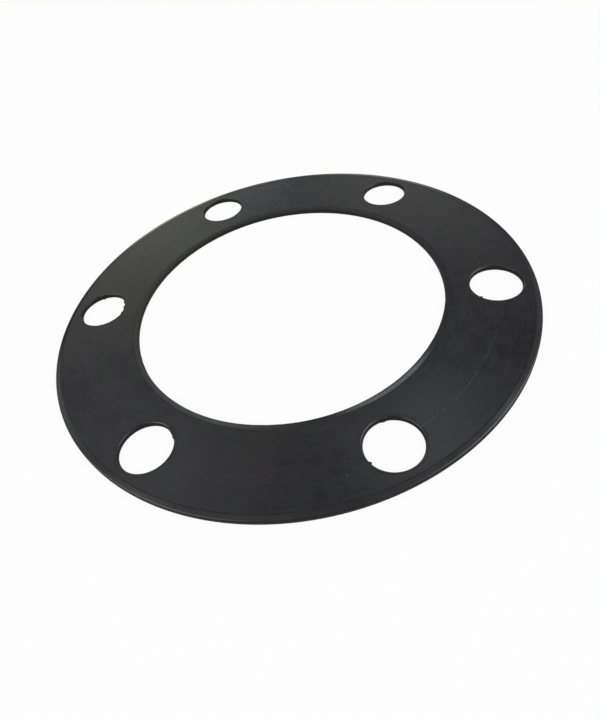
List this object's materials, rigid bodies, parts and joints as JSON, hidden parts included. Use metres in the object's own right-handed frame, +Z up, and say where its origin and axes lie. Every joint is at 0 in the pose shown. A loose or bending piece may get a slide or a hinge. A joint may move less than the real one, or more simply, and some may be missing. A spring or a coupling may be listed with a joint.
{
  "type": "rubber flange gasket",
  "caption": "Flat black rubber ring that seals a bolted pipe flange, with a wide bore, bevelled rims and a circle of bolt holes.",
  "frame": {"origin": "centre of the bore, on the plain underside that the gasket rests on", "axes": "+Z up the bore's axis, out of the bevelled top face; +X from the bore's centre through the middle of one bolt hole"},
  "size_m": [0.177, 0.177, 0.002],
  "materials": {
    "rubber": "satin black moulded rubber, lightly scuffed and mottled"
  },
  "bodies": {
    "root": {"flange_gasket": "rubber"}
  },
  "joints": []
}
